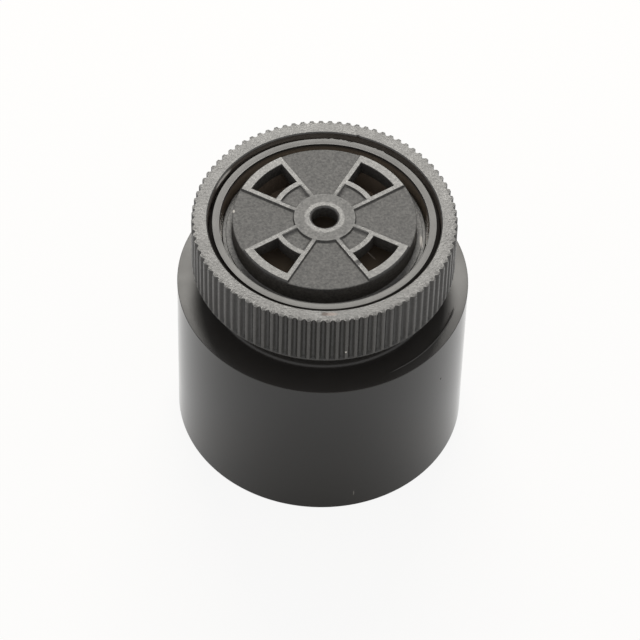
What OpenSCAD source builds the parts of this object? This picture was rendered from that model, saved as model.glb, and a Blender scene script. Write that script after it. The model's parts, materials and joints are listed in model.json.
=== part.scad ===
// Panel-mount audible alarm: a one-piece housing with a threaded neck, a knurled
// lock ring, a ribbed grille cap, a piezo sounder and its driver board.
// Millimetres. The rear rim stands on z = 0 and +Z points out through the grille.

/* [Housing] */
// Diameter of the body behind the panel
body_d = 36; // [34:0.1:42]
// Height of the body from its rear rim to the shoulder
body_h = 23.3; // [22:0.1:30]
// Thickness of the body wall round the circuit board
body_wall = 2; // [1.6:0.1:2.6]
// Thickness of the shoulder that meets the panel
shoulder_t = 1.8; // [1.2:0.1:2.4]
// Radius that rounds the rear edge of the body
rear_edge_r = 0.12; // [0.05:0.01:0.8]
// Radius that rounds the edge of the shoulder
shoulder_edge_r = 0.1; // [0.05:0.01:0.8]
// Outside diameter of the neck over its thread
neck_d = 28.2; // [27:0.1:31]
// Height of the neck above the shoulder
neck_h = 10.65; // [10:0.05:14]
// Thickness of the neck wall round the grille cap
neck_wall = 1.33; // [1.1:0.01:1.6]
// Width of the lead-in chamfer on the neck's rim
rim_chamfer_w = 0.46; // [0.2:0.02:0.8]
// Height of the lead-in chamfer on the neck's rim
rim_chamfer_h = 0.6; // [0.3:0.05:1.2]

/* [Lock ring] */
// Diameter over the crests of the knurl
ring_d = 32.4; // [31.6:0.1:35]
// Height of the ring
ring_h = 7.3; // [5:0.1:9]
// Space for the panel between the shoulder and the ring
panel_gap = 3.88; // [1:0.02:6]
// Radial clearance between the ring and the neck
ring_fit = 0.15; // [0.1:0.01:0.3]
// Number of V-shaped flutes round the ring
flute_count = 88; // [60:1:100]
// Width of a flute at the crest line
flute_w = 0.66; // [0.5:0.02:0.9]
// Depth of a flute below the crest line
flute_depth = 0.34; // [0.2:0.02:0.5]
// Chamfer on the ring's outer edges and on its mouth
ring_chamfer = 0.14; // [0.05:0.01:0.3]

/* [Grille cap] */
// Width of the groove between the neck and the cap's skirt
groove_w = 1.55; // [1.2:0.05:2]
// Depth of that groove below the rim of the neck
groove_depth = 2.6; // [1.5:0.1:3.5]
// Height of the ribs' tops above the rim of the neck
cap_proud = 1; // [0.5:0.05:2]
// Height of the ribs above the recessed fields
rib_h = 0.32; // [0.2:0.01:0.7]
// Thickness of the cap under the recessed fields
cap_plate_t = 1.5; // [1:0.1:2]
// Thickness of the cap's skirt
skirt_wall = 1.1; // [0.8:0.05:1.25]
// Thickness of the flange that seats the cap
flange_t = 1.2; // [0.8:0.1:1.8]
// Radial clearance between the flange and the neck
flange_fit = 0.3; // [0.1:0.05:0.6]
// Number of ribbed arms
arm_count = 4; // [3:1:5]
// Angle that a window spans
window_angle = 30.8; // [20:0.2:36]
// Radial length of a window
window_len = 3.2; // [2.4:0.1:3.4]
// Width of the arc rib outside a window
outer_rib_w = 1.32; // [1.2:0.02:1.6]
// Width of the arc rib between a window and its pocket
inner_rib_w = 0.95; // [0.6:0.05:1.2]
// Width of the straight ribs beside a window
side_rib_w = 0.82; // [0.5:0.02:1]
// Chamfer at the outer ends of the arms
arm_chamfer = 0.2; // [0.1:0.02:0.3]
// Diameter of the hub
hub_d = 7.6; // [6.4:0.1:8.6]
// Diameter of the sound hole in the hub
sound_hole_d = 3.6; // [2.4:0.1:4.6]
// Width of the countersink round the sound hole
sound_hole_chamfer = 0.2; // [0.1:0.05:0.6]

/* [Sounder] */
// Thickness of the bulkhead behind the grille cap
bulkhead_t = 1.2; // [0.8:0.1:1.8]
// Diameter of the port through the bulkhead
port_d = 4; // [2.5:0.1:6]
// Depth of the resonance chamber behind the bulkhead
chamber_h = 1.6; // [1:0.1:2.4]
// Thickness of the neck wall round the diaphragm
seat_wall = 1.5; // [1.2:0.05:2]
// Width of the ledge that carries the diaphragm
seat_ledge_w = 1.3; // [0.8:0.1:2]
// Radial clearance round the diaphragm plate
plate_fit = 0.15; // [0.05:0.05:0.3]
// Thickness of the brass diaphragm plate
plate_t = 0.25; // [0.15:0.05:0.4]
// Diameter of the piezo ceramic
ceramic_d = 17; // [14:0.5:19]
// Thickness of the piezo ceramic
ceramic_t = 0.25; // [0.15:0.05:0.4]
// Height of the adhesive bead round the diaphragm
bead_h = 0.8; // [0.4:0.1:1.2]
// Diameter of a lead wire over its insulation
lead_d = 0.7; // [0.5:0.05:0.8]

/* [Rear cover] */
// Depth of the well that shields the terminals
well_depth = 9.2; // [8.6:0.1:10]
// Thickness of the body wall round the well
well_wall = 1.4; // [1.2:0.05:1.55]
// Thickness of the rear cover
cover_t = 1.6; // [1.2:0.1:2]
// Radial clearance round the rear cover
cover_fit = 0.1; // [0.05:0.05:0.2]
// Diameter of the posts that carry the circuit board
post_d = 3; // [2:0.1:4]
// Height of those posts
post_h = 2.6; // [1.5:0.1:3]
// Length of the strokes of the polarity marks
mark_len = 3; // [2:0.1:4]
// Width of the strokes of the polarity marks
mark_w = 0.7; // [0.4:0.05:1]
// Height of the polarity marks
mark_h = 0.3; // [0.1:0.05:0.5]

/* [Terminals] */
// Width of a blade
blade_w = 6.35; // [4.8:0.05:6.35]
// Thickness of a blade
blade_t = 0.81; // [0.5:0.01:1]
// Length of a blade behind the rear cover
blade_len = 7.9; // [6.4:0.1:8.4]
// Distance between the two blades
blade_pitch = 13; // [11:0.1:14]
// Clearance round a blade in the rear cover and round its tail in the board
blade_fit = 0.1; // [0.05:0.05:0.2]
// Chamfer at the tip of a blade
blade_chamfer = 1; // [0.5:0.1:1.5]
// Diameter of the detent hole in a blade
detent_d = 1.8; // [1.4:0.1:2]
// Distance of the detent hole from the tip
detent_set = 3.4; // [3:0.1:4]
// Width of the blade's shoulder between the cover and the board
blade_shoulder_w = 8; // [7.2:0.1:9]
// Width of the tail that is soldered to the board
tail_w = 2.2; // [1.6:0.1:3]
// Height of the tail above the board
tail_h = 0.9; // [0.5:0.1:1.4]

/* [Circuit board] */
// Thickness of the board
board_t = 1.6; // [1:0.1:1.8]
// Radial gap between the board and the body
board_gap = 0.4; // [0.2:0.05:0.8]
// Diameter of the choke's flanges
choke_d = 9; // [7:0.1:9.4]
// Height of the choke
choke_h = 6; // [4:0.1:6.5]
// Diameter of the choke's waist
choke_waist_d = 4; // [3:0.1:5]
// Thickness of the choke's flanges
choke_flange_t = 1.1; // [0.8:0.1:1.4]
// Distance of the choke's winding inside the flanges' edge
winding_set = 0.5; // [0.3:0.1:0.8]
// Diameter of the filter capacitor
can_d = 6.3; // [5:0.1:6.6]
// Height of the filter capacitor
can_h = 7; // [5:0.1:7.5]
// Depth of the crimped groove round the filter capacitor
can_crimp = 0.3; // [0.1:0.05:0.5]
// Width of the driver transistor
transistor_w = 4.6; // [4:0.1:5]
// Depth of the driver transistor
transistor_depth = 3.6; // [3:0.1:4]
// Height of the driver transistor's body
transistor_h = 4.4; // [3.6:0.1:4.8]
// Height of the transistor's legs under its body
transistor_leg_h = 0.8; // [0.5:0.1:1]
// Spacing of the transistor's legs
transistor_leg_pitch = 1.27; // [1.2:0.01:1.4]
// Thickness of the transistor's legs
transistor_leg_t = 0.45; // [0.3:0.05:0.6]
// Width of the driver chip's body
chip_w = 3.9; // [3.6:0.1:4.2]
// Length of the driver chip's body
chip_len = 4.9; // [4.4:0.1:5.2]
// Height of the driver chip over its pins
chip_h = 1.6; // [1.4:0.1:1.8]
// Gap under the driver chip
chip_lift = 0.2; // [0.1:0.05:0.3]
// Width over the driver chip's pins
chip_span = 6; // [5.8:0.1:6.2]
// Spacing of the driver chip's pins
chip_pin_pitch = 1.27; // [1:0.01:1.27]
// Width of a driver chip pin
chip_pin_w = 0.42; // [0.3:0.02:0.5]
// Thickness of a driver chip pin
chip_pin_t = 0.25; // [0.2:0.01:0.3]
// Diameter of the polarity diode
diode_d = 2.6; // [2:0.1:2.8]
// Length of the polarity diode's body
diode_len = 5; // [4:0.1:5.4]
// Diameter of the polarity diode's leads
diode_lead_d = 0.75; // [0.5:0.05:0.9]
// Distance from the diode's body to the bend in each lead
diode_lead_run = 1.2; // [1:0.1:1.4]
// Gap under the polarity diode
diode_lift = 0.3; // [0.1:0.05:0.6]
// Length of a chip resistor or chip capacitor
chip_part_len = 3.2; // [2:0.1:3.4]
// Width of a chip resistor or chip capacitor
chip_part_w = 1.6; // [1.2:0.1:1.7]
// Height of a chip resistor
resistor_h = 0.6; // [0.4:0.05:0.8]
// Height of a chip capacitor
chip_capacitor_h = 1.2; // [0.8:0.05:1.4]
// Width of a solder joint at its pad
solder_d = 1.8; // [1.4:0.1:2]
// Height of a solder joint
solder_h = 0.5; // [0.3:0.05:0.6]

/* [Hidden] */
$fn = 96;

// How far a cut runs past the face that it opens
overrun = 0.2;

// Heights, from the rear rim to the grille
cover_z = well_depth;
ledge_z = cover_z + cover_t;
board_z = ledge_z + post_h;
board_top_z = board_z + board_t;
roof_z = body_h - shoulder_t;
rim_z = body_h + neck_h;
flange_top_z = rim_z - groove_depth;
cap_seat_z = flange_top_z - flange_t;
chamber_top_z = cap_seat_z - bulkhead_t;
seat_z = chamber_top_z - chamber_h;
plate_z = seat_z - plate_t;
ceramic_z = plate_z - ceramic_t;
rib_top_z = rim_z + cap_proud;
field_z = rib_top_z - rib_h;
cap_roof_z = field_z - cap_plate_t;
ring_z = body_h + panel_gap;
ring_top_z = ring_z + ring_h;
blade_tip_z = cover_z - blade_len;

// Radii, from the outside in
body_r = body_d / 2;
well_r = body_r - well_wall;
cover_r = well_r - cover_fit;
cavity_r = body_r - body_wall;
board_r = cavity_r - board_gap;
neck_r = neck_d / 2;
socket_r = neck_r - neck_wall;
seat_r = neck_r - seat_wall;
chamber_r = seat_r - seat_ledge_w;
plate_r = seat_r - plate_fit;
ring_r = ring_d / 2;
bore_r = neck_r + ring_fit;
flange_r = socket_r - flange_fit;
skirt_r = socket_r - groove_w;
window_out_r = skirt_r - outer_rib_w;
window_in_r = window_out_r - window_len;
pocket_out_r = window_in_r - inner_rib_w;
hub_r = hub_d / 2;
half_window = window_angle / 2;

// Places on the board, as shares of its radius
choke_place_shares = [0, 0.48];
can_place_shares = [0, -0.15];
chip_place_shares = [0, -0.61];
transistor_place_shares = [0.5, -0.36];
diode_place_shares = [-0.66, -0.19];
resistor_place_shares = [[0.67, 0.17], [0.67, 0.32], [0.36, -0.5], [0.36, -0.64]];
chip_capacitor_place_shares = [[-0.67, 0.2], [-0.67, 0.35]];
drive_pad_shares = [0.51, 0.53];
common_pad_shares = [-0.51, 0.53];
feedback_pad_shares = [-0.51, -0.53];
post_ring_share = 0.8;
post_angles = [90, 210, 330];

// Places on the sounder, as shares of the ceramic's radius or of the plate's
drive_dot_shares = [0.6, 0.6];
feedback_dot_shares = [-0.58, -0.58];
common_dot_shares = [-0.57, 0.57];

// A lead leaves its pad and meets its dot upright: the share of its rise that each end keeps
lead_upright_share = 0.55;
lead_steps = 16;
lead_sides = 8;

// A solder joint narrows to this share of its width at the top
solder_top_share = 0.55;
// Soldered tails take joints this much wider than their own width
tail_solder_share = 1.7;
// Places of the polarity marks, as shares of the blades' distance from the axis
mark_place_share = 1.78;
// Height of the can's crimp, as a share of its height
can_crimp_share = 0.16;
// Length of each metal end of a chip part, as a share of its length, and how far it stands out
chip_end_share = 0.18;
chip_end_proud_share = 0.04;
// Flat of the transistor, as a share of its depth, in front of its centre
transistor_flat_share = 0.28;

// Cross-section of a turned shape between two radii and two heights
module band(inner_r, outer_r, low_z, high_z) {
    translate([inner_r, low_z]) square([outer_r - inner_r, high_z - low_z]);
}

// What a rounded edge takes off a corner: x_side and z_side point from the corner into the solid
module edge_waste(corner_r, corner_z, radius, x_side, z_side) {
    translate([corner_r, corner_z]) scale([x_side, z_side])
        difference() {
            translate([-overrun, -overrun]) square(radius + overrun);
            translate([radius, radius]) circle(radius);
        }
}

// Flat sector between two radii, centred on the X axis
module sector(inner_r, outer_r, half_angle) {
    reach = 2 * outer_r;
    intersection() {
        difference() {
            circle(outer_r);
            circle(inner_r);
        }
        polygon([[0, 0], reach * [cos(half_angle), -sin(half_angle)],
                 reach * [cos(half_angle), sin(half_angle)]]);
    }
}

// Copies of a shape at the arms of the grille
module at_arms() {
    for (arm = [0 : arm_count - 1]) rotate((arm + 1 / 2) * 360 / arm_count) children();
}

function on_board(shares) = [shares.x * board_r, shares.y * board_r, board_top_z];

// One moulding: body, shoulder, neck, bulkhead and the ledges inside
module housing_section() {
    difference() {
        union() {
            band(0, body_r, 0, body_h);
            polygon([[0, body_h - overrun], [neck_r, body_h - overrun], [neck_r, rim_z - rim_chamfer_h],
                     [neck_r - rim_chamfer_w, rim_z], [0, rim_z]]);
        }
        edge_waste(body_r, 0, rear_edge_r, -1, 1);
        edge_waste(body_r, body_h, shoulder_edge_r, -1, -1);
        band(0, well_r, -overrun, ledge_z);
        band(0, cavity_r, ledge_z - overrun, roof_z);
        band(0, seat_r, roof_z - overrun, seat_z);
        band(0, chamber_r, seat_z - overrun, chamber_top_z);
        band(0, port_d / 2, chamber_top_z - overrun, cap_seat_z + overrun);
        band(0, socket_r, cap_seat_z, rim_z + overrun);
    }
}

module housing() {
    color("#26242a") rotate_extrude() housing_section();
}

// Knurled ring that clamps the panel against the shoulder
module lock_ring() {
    color("#4a494b") difference() {
        rotate_extrude()
            polygon([[bore_r, ring_z], [ring_r - ring_chamfer, ring_z], [ring_r, ring_z + ring_chamfer],
                     [ring_r, ring_top_z - ring_chamfer], [ring_r - ring_chamfer, ring_top_z],
                     [bore_r + ring_chamfer, ring_top_z], [bore_r, ring_top_z - ring_chamfer]]);
        for (flute = [0 : flute_count - 1])
            rotate((flute + 1 / 4) * 360 / flute_count) translate([0, 0, ring_z - overrun])
                linear_extrude(ring_h + 2 * overrun) flute_section();
    }
}

// What a flute takes off the ring: a V with its root towards the axis
module flute_section() {
    side = flute_w / 2 * (flute_depth + overrun) / flute_depth;
    polygon([[ring_r - flute_depth, 0], [ring_r + overrun, -side], [ring_r + overrun, side]]);
}

// Outline of the ribs: hub and arms, with the pockets left open
module rib_outline() {
    reach = 2 * skirt_r;
    apex = side_rib_w / sin(half_window);
    difference() {
        union() {
            circle(hub_r);
            intersection() {
                circle(skirt_r);
                at_arms()
                    polygon([[-apex, 0], [reach, -(reach + apex) * tan(half_window)],
                             [reach, (reach + apex) * tan(half_window)]]);
                at_arms_reach();
            }
        }
        at_arms() sector(hub_r, pocket_out_r, half_window);
    }
}

// The half of the disc that each arm may fill, so that no arm runs through the hub
module at_arms_reach() {
    at_arms() sector(0, skirt_r + overrun, 180 / arm_count);
}

module grille_cap() {
    hole_r = sound_hole_d / 2;
    color("#5c5a5c") difference() {
        union() {
            rotate_extrude() {
                band(skirt_r - skirt_wall, flange_r, cap_seat_z, flange_top_z);
                band(skirt_r - skirt_wall, skirt_r, flange_top_z - overrun, field_z);
                band(0, skirt_r, cap_roof_z, field_z);
            }
            translate([0, 0, field_z - overrun]) linear_extrude(rib_h + overrun) rib_outline();
        }
        at_arms() translate([0, 0, cap_roof_z - overrun])
            linear_extrude(cap_plate_t + rib_h + 2 * overrun) sector(window_in_r, window_out_r, half_window);
        rotate_extrude()
            polygon([[0, cap_roof_z - overrun], [hole_r, cap_roof_z - overrun],
                     [hole_r, rib_top_z - sound_hole_chamfer], [hole_r + sound_hole_chamfer, rib_top_z],
                     [hole_r + sound_hole_chamfer, rib_top_z + overrun], [0, rib_top_z + overrun]]);
        rotate_extrude()
            polygon([[skirt_r - arm_chamfer, rib_top_z],
                     [skirt_r + overrun, rib_top_z - arm_chamfer - overrun],
                     [skirt_r + overrun, rib_top_z + overrun], [skirt_r - arm_chamfer, rib_top_z + overrun]]);
    }
}

module diaphragm_plate() {
    color("#c9a24a") translate([0, 0, plate_z]) cylinder(h = plate_t, r = plate_r);
}

module piezo_ceramic() {
    color("#d8d6cc") translate([0, 0, ceramic_z]) cylinder(h = ceramic_t, d = ceramic_d);
}

// Bead that holds the edge of the diaphragm to its ledge
module adhesive_bead() {
    color("#e6e6e2") translate([0, 0, plate_z - bead_h]) difference() {
        cylinder(h = bead_h, r = seat_r);
        translate([0, 0, -overrun]) cylinder(h = bead_h + 2 * overrun, r = chamber_r);
    }
}

// Centre line of a lead: a cubic curve that is upright at both ends
function lead_point(low, high, t) =
    let (rise = (high.z - low.z) * lead_upright_share,
         low_guide = low + [0, 0, rise], high_guide = high - [0, 0, rise])
    pow(1 - t, 3) * low + 3 * t * pow(1 - t, 2) * low_guide
    + 3 * t * t * (1 - t) * high_guide + pow(t, 3) * high;

// Direction of the centre line, from its neighbours on the curve
function lead_heading(low, high, i) =
    i == 0 || i == lead_steps ? [0, 0, 1]
    : let (step = lead_point(low, high, (i + 1) / lead_steps) - lead_point(low, high, (i - 1) / lead_steps))
      step / norm(step);

// Insulated wire from a pad on the board up to a dot on the sounder
module lead(low, high) {
    rings = [for (i = [0 : lead_steps])
        let (centre = lead_point(low, high, i / lead_steps), heading = lead_heading(low, high, i),
             side = cross(heading, [0, 1, 0]) / norm(cross(heading, [0, 1, 0])),
             front = cross(heading, side))
        for (k = [0 : lead_sides - 1])
            let (turn = k * 360 / lead_sides)
            centre + lead_d / 2 * (cos(turn) * side + sin(turn) * front)];
    walls = [for (i = [0 : lead_steps - 1], k = [0 : lead_sides - 1])
        let (next = (k + 1) % lead_sides, base = i * lead_sides)
        [base + k, base + lead_sides + k, base + lead_sides + next, base + next]];
    bottom = [for (k = [0 : lead_sides - 1]) k];
    top = [for (k = [lead_sides - 1 : -1 : 0]) lead_steps * lead_sides + k];
    polyhedron(rings, concat(walls, [bottom, top]));
}

function pad_top(shares) = on_board(shares) + [0, 0, solder_h];
function ceramic_dot(shares) = [shares.x * ceramic_d / 2, shares.y * ceramic_d / 2, ceramic_z];
function plate_dot(shares) = [shares.x * plate_r, shares.y * plate_r, plate_z];

module drive_lead() {
    color("#b3322b") lead(pad_top(drive_pad_shares), ceramic_dot(drive_dot_shares) - [0, 0, solder_h]);
}

module common_lead() {
    color("#2b2b2b") lead(pad_top(common_pad_shares), plate_dot(common_dot_shares) - [0, 0, solder_h]);
}

module feedback_lead() {
    color("#2f5fa8") lead(pad_top(feedback_pad_shares), ceramic_dot(feedback_dot_shares) - [0, 0, solder_h]);
}

module circuit_board() {
    color("#2f6b3a") translate([0, 0, board_z]) difference() {
        cylinder(h = board_t, r = board_r);
        for (side = [-1, 1])
            translate([side * blade_pitch / 2 - blade_t / 2 - blade_fit, -tail_w / 2 - blade_fit, -overrun])
                cube([blade_t + 2 * blade_fit, tail_w + 2 * blade_fit, board_t + 2 * overrun]);
    }
}

// Ferrite bobbin of the step-up choke
module choke_core() {
    color("#3b3b3d") translate(on_board(choke_place_shares)) {
        cylinder(h = choke_flange_t, d = choke_d);
        cylinder(h = choke_h, d = choke_waist_d);
        translate([0, 0, choke_h - choke_flange_t]) cylinder(h = choke_flange_t, d = choke_d);
    }
}

module choke_winding() {
    winding_h = choke_h - 2 * choke_flange_t;
    color("#b5713a") translate(on_board(choke_place_shares) + [0, 0, choke_flange_t]) difference() {
        cylinder(h = winding_h, d = choke_d - 2 * winding_set);
        translate([0, 0, -overrun]) cylinder(h = winding_h + 2 * overrun, d = choke_waist_d);
    }
}

// Radial capacitor: a can with a crimped groove above its seal
module filter_capacitor() {
    crimp_z = can_h * can_crimp_share;
    color("#3a3f55") translate(on_board(can_place_shares)) rotate_extrude() difference() {
        band(0, can_d / 2, 0, can_h);
        translate([can_d / 2, crimp_z + can_crimp]) circle(can_crimp);
        edge_waste(can_d / 2, can_h, can_crimp, -1, -1);
    }
}

// Three-leg plastic package with a flat face
module driver_transistor() {
    flat = transistor_depth * transistor_flat_share;
    color("#2b2b2b") translate(on_board(transistor_place_shares)) {
        translate([0, 0, transistor_leg_h]) intersection() {
            cylinder(h = transistor_h, d = transistor_w);
            translate([-transistor_w, -flat, 0])
                cube([2 * transistor_w, transistor_depth, transistor_h]);
        }
        for (leg = [-1 : 1])
            translate([leg * transistor_leg_pitch - transistor_leg_t / 2, -transistor_leg_t / 2, 0])
                cube([transistor_leg_t, transistor_leg_t, transistor_leg_h + overrun]);
    }
}

// Small-outline package with four stepped pins on each side
module driver_chip() {
    pin_run = (chip_span - chip_w) / 2;
    pin_z = (chip_h - chip_lift) / 2 + chip_lift;
    color("#2b2b2b") translate(on_board(chip_place_shares)) {
        translate([-chip_w / 2, -chip_len / 2, chip_lift]) cube([chip_w, chip_len, chip_h - chip_lift]);
        for (side = [0, 1], pin = [-1.5 : 1.5])
            mirror([side, 0, 0])
                translate([chip_w / 2, pin * chip_pin_pitch - chip_pin_w / 2, 0]) {
                    translate([-overrun, 0, pin_z - chip_pin_t])
                        cube([pin_run / 2 + overrun, chip_pin_w, chip_pin_t]);
                    translate([pin_run / 2 - chip_pin_t, 0, 0]) cube([chip_pin_t, chip_pin_w, pin_z]);
                    translate([pin_run / 2 - chip_pin_t, 0, 0])
                        cube([pin_run / 2 + chip_pin_t, chip_pin_w, chip_pin_t]);
                }
    }
}

// Axial diode lying on the board on two bent leads
module polarity_diode() {
    axis_z = diode_lift + diode_d / 2;
    bend_y = diode_len / 2 + diode_lead_run;
    color("#303034") translate(on_board(diode_place_shares)) {
        translate([0, diode_len / 2, axis_z]) rotate([90, 0, 0]) cylinder(h = diode_len, d = diode_d);
        translate([0, bend_y, axis_z]) rotate([90, 0, 0])
            cylinder(h = 2 * bend_y, d = diode_lead_d, $fn = 24);
        for (side = [-1, 1]) translate([0, side * bend_y, 0]) {
            cylinder(h = axis_z, d = diode_lead_d, $fn = 24);
            translate([0, 0, axis_z]) sphere(d = diode_lead_d, $fn = 24);
        }
    }
}

// Chip part: a block with a metal end at each side
module chip_part(height) {
    end_len = chip_part_len * chip_end_share;
    proud = chip_part_w * chip_end_proud_share;
    translate([-chip_part_len / 2, -chip_part_w / 2, 0]) cube([chip_part_len, chip_part_w, height]);
    for (side = [0, 1])
        mirror([side, 0, 0]) translate([chip_part_len / 2 - end_len, -chip_part_w / 2 - proud, 0])
            cube([end_len + proud, chip_part_w + 2 * proud, height + proud]);
}

module resistors() {
    color("#22242c")
        for (place = resistor_place_shares) translate(on_board(place)) chip_part(resistor_h);
}

module chip_capacitors() {
    color("#b99a6b")
        for (place = chip_capacitor_place_shares) translate(on_board(place)) chip_part(chip_capacitor_h);
}

module solder_cone() {
    cylinder(h = solder_h, d1 = solder_d, d2 = solder_d * solder_top_share);
}

// Joints at the lead pads, at the sounder's dots and round the terminals' tails
module solder_joints() {
    color("#b9bcc0") {
        for (pad = [drive_pad_shares, common_pad_shares, feedback_pad_shares])
            translate(on_board(pad)) solder_cone();
        for (dot = [ceramic_dot(drive_dot_shares), ceramic_dot(feedback_dot_shares),
                    plate_dot(common_dot_shares)])
            translate(dot) mirror([0, 0, 1]) solder_cone();
        for (side = [-1, 1]) translate([side * blade_pitch / 2, 0, board_top_z]) difference() {
            cylinder(h = solder_h, d1 = tail_w * tail_solder_share, d2 = tail_w);
            translate([-blade_t / 2, -tail_w / 2, -overrun])
                cube([blade_t, tail_w, solder_h + 2 * overrun]);
        }
    }
}

// Stroke of a polarity mark on the rear face of the cover
module mark_stroke(along_x, along_y) {
    translate([-along_x / 2, -along_y / 2, cover_z - mark_h]) cube([along_x, along_y, mark_h + overrun]);
}

// Moulded cover: slots for the blades, posts for the board and raised polarity marks
module rear_cover() {
    slot_t = blade_t + 2 * blade_fit;
    slot_w = blade_w + 2 * blade_fit;
    mark_x = mark_place_share * blade_pitch / 2;
    color("#2a282c") difference() {
        union() {
            translate([0, 0, cover_z]) cylinder(h = cover_t, r = cover_r);
            for (angle = post_angles)
                rotate(angle) translate([post_ring_share * board_r, 0, ledge_z - overrun])
                    cylinder(h = post_h + overrun, d = post_d);
            translate([mark_x, 0, 0]) {
                mark_stroke(mark_len, mark_w);
                mark_stroke(mark_w, mark_len);
            }
            translate([-mark_x, 0, 0]) mark_stroke(mark_w, mark_len);
        }
        for (side = [-1, 1])
            translate([side * blade_pitch / 2 - slot_t / 2, -slot_w / 2, cover_z - overrun])
                cube([slot_t, slot_w, cover_t + 2 * overrun]);
    }
}

// Quick-connect blade: chamfered tip, detent hole, shoulder on the cover and tail through the board
module blade_terminal() {
    tail_top_z = board_top_z + tail_h;
    half = [[blade_w / 2 - blade_chamfer, blade_tip_z], [blade_w / 2, blade_tip_z + blade_chamfer],
            [blade_w / 2, ledge_z], [blade_shoulder_w / 2, ledge_z], [blade_shoulder_w / 2, board_z],
            [tail_w / 2, board_z], [tail_w / 2, tail_top_z]];
    other_half = [for (i = [len(half) - 1 : -1 : 0]) [-half[i].x, half[i].y]];
    rotate([90, 0, 90]) translate([0, 0, -blade_t / 2]) difference() {
        linear_extrude(blade_t) polygon(concat(half, other_half));
        translate([0, blade_tip_z + detent_set, -overrun])
            cylinder(h = blade_t + 2 * overrun, d = detent_d);
    }
}

module positive_terminal() {
    color("#c9c6bd") translate([blade_pitch / 2, 0, 0]) blade_terminal();
}

module negative_terminal() {
    color("#c9c6bd") translate([-blade_pitch / 2, 0, 0]) blade_terminal();
}

housing();
lock_ring();
grille_cap();
diaphragm_plate();
piezo_ceramic();
adhesive_bead();
drive_lead();
common_lead();
feedback_lead();
circuit_board();
choke_core();
choke_winding();
filter_capacitor();
driver_transistor();
driver_chip();
polarity_diode();
resistors();
chip_capacitors();
solder_joints();
rear_cover();
positive_terminal();
negative_terminal();
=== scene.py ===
"""Looks of the panel-mount audible alarm: moulded surfaces, finishes, light and camera.

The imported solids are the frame. The three mouldings that show most, the housing, the lock
ring and the grille cap, are rebuilt here as smooth surfaces with their threads, edge rounds
and wear. Lengths are in metres, MM turns millimetres into them, and angles are in radians
unless a name says degrees.
"""
import json
import math

import bpy
import numpy as np
from mathutils import Matrix, Vector


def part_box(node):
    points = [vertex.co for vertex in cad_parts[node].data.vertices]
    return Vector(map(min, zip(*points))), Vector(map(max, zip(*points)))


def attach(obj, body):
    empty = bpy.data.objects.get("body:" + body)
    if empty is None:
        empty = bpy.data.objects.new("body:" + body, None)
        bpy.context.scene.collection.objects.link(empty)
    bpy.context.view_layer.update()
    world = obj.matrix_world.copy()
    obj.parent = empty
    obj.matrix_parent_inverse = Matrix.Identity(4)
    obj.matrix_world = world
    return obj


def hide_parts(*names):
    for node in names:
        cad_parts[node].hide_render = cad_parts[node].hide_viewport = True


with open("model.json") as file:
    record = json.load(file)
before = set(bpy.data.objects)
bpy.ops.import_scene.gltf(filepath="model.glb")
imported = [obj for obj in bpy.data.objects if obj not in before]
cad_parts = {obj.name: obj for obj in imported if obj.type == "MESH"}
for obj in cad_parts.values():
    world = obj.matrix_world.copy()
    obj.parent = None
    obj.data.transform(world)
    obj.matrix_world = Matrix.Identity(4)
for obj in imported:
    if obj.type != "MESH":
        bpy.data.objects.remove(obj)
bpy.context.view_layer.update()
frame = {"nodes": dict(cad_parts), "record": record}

MM = 0.001
TURN = 2 * math.pi

# Sizes read from the frame
BODY_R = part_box("housing")[1].x
RIM_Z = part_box("housing")[1].z
RING_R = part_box("lock_ring")[1].x
RING_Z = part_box("lock_ring")[0].z
RING_TOP_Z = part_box("lock_ring")[1].z
CAP_SEAT_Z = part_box("grille_cap")[0].z
RIB_TOP_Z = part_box("grille_cap")[1].z
FLANGE_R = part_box("grille_cap")[1].x
SEAT_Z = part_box("diaphragm_plate")[1].z
BOARD_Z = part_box("circuit_board")[0].z
PANEL_NECK = next(m for m in frame["record"]["mounts"] if m["name"] == "panel_neck")
SHOULDER_Z = PANEL_NECK["pos_m"][2]
NECK_R = PANEL_NECK["dims"]["r_mm"] * MM

# Walls and fits of the housing
WELL_R = BODY_R - 1.4 * MM
CAVITY_R = BODY_R - 2 * MM
LEDGE_Z = BOARD_Z - 2.6 * MM
ROOF_Z = SHOULDER_Z - 1.8 * MM
SEAT_R = NECK_R - 1.5 * MM
CHAMBER_R = SEAT_R - 1.3 * MM
CHAMBER_TOP_Z = CAP_SEAT_Z - 1.2 * MM
PORT_R = 2 * MM
SOCKET_R = NECK_R - 1.33 * MM
RIM_CHAMFER_W = 0.46 * MM
RIM_CHAMFER_H = 0.6 * MM


# Meshes

def grid_faces(rows, columns):
    """Quads between neighbouring rows and columns of a grid that closes on itself both ways.

    Each quad lists its corners so that it faces outwards when the rows run up the outside
    of the solid and the columns run anticlockwise round the axis.
    """
    row, column = np.meshgrid(np.arange(rows), np.arange(columns), indexing="ij")
    next_row = (row + 1) % rows
    next_column = (column + 1) % columns
    return np.stack([row * columns + column, row * columns + next_column,
                     next_row * columns + next_column, next_row * columns + column], axis=-1)


def mesh_object(name, points, faces, sharp_angle):
    """An object at the origin from vertex positions and quads, smooth but for sharp edges."""
    mesh = bpy.data.meshes.new(name)
    mesh.vertices.add(len(points))
    mesh.vertices.foreach_set("co", points.astype(np.float32).ravel())
    mesh.loops.add(faces.size)
    mesh.loops.foreach_set("vertex_index", faces.astype(np.int32).ravel())
    mesh.polygons.add(len(faces))
    mesh.polygons.foreach_set("loop_start", np.arange(0, faces.size, faces.shape[1], dtype=np.int32))
    mesh.update(calc_edges=True)
    mesh.validate()
    mesh.shade_smooth()
    mesh.set_sharp_from_angle(angle=sharp_angle)
    obj = bpy.data.objects.new(name, mesh)
    bpy.context.scene.collection.objects.link(obj)
    return obj


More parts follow.
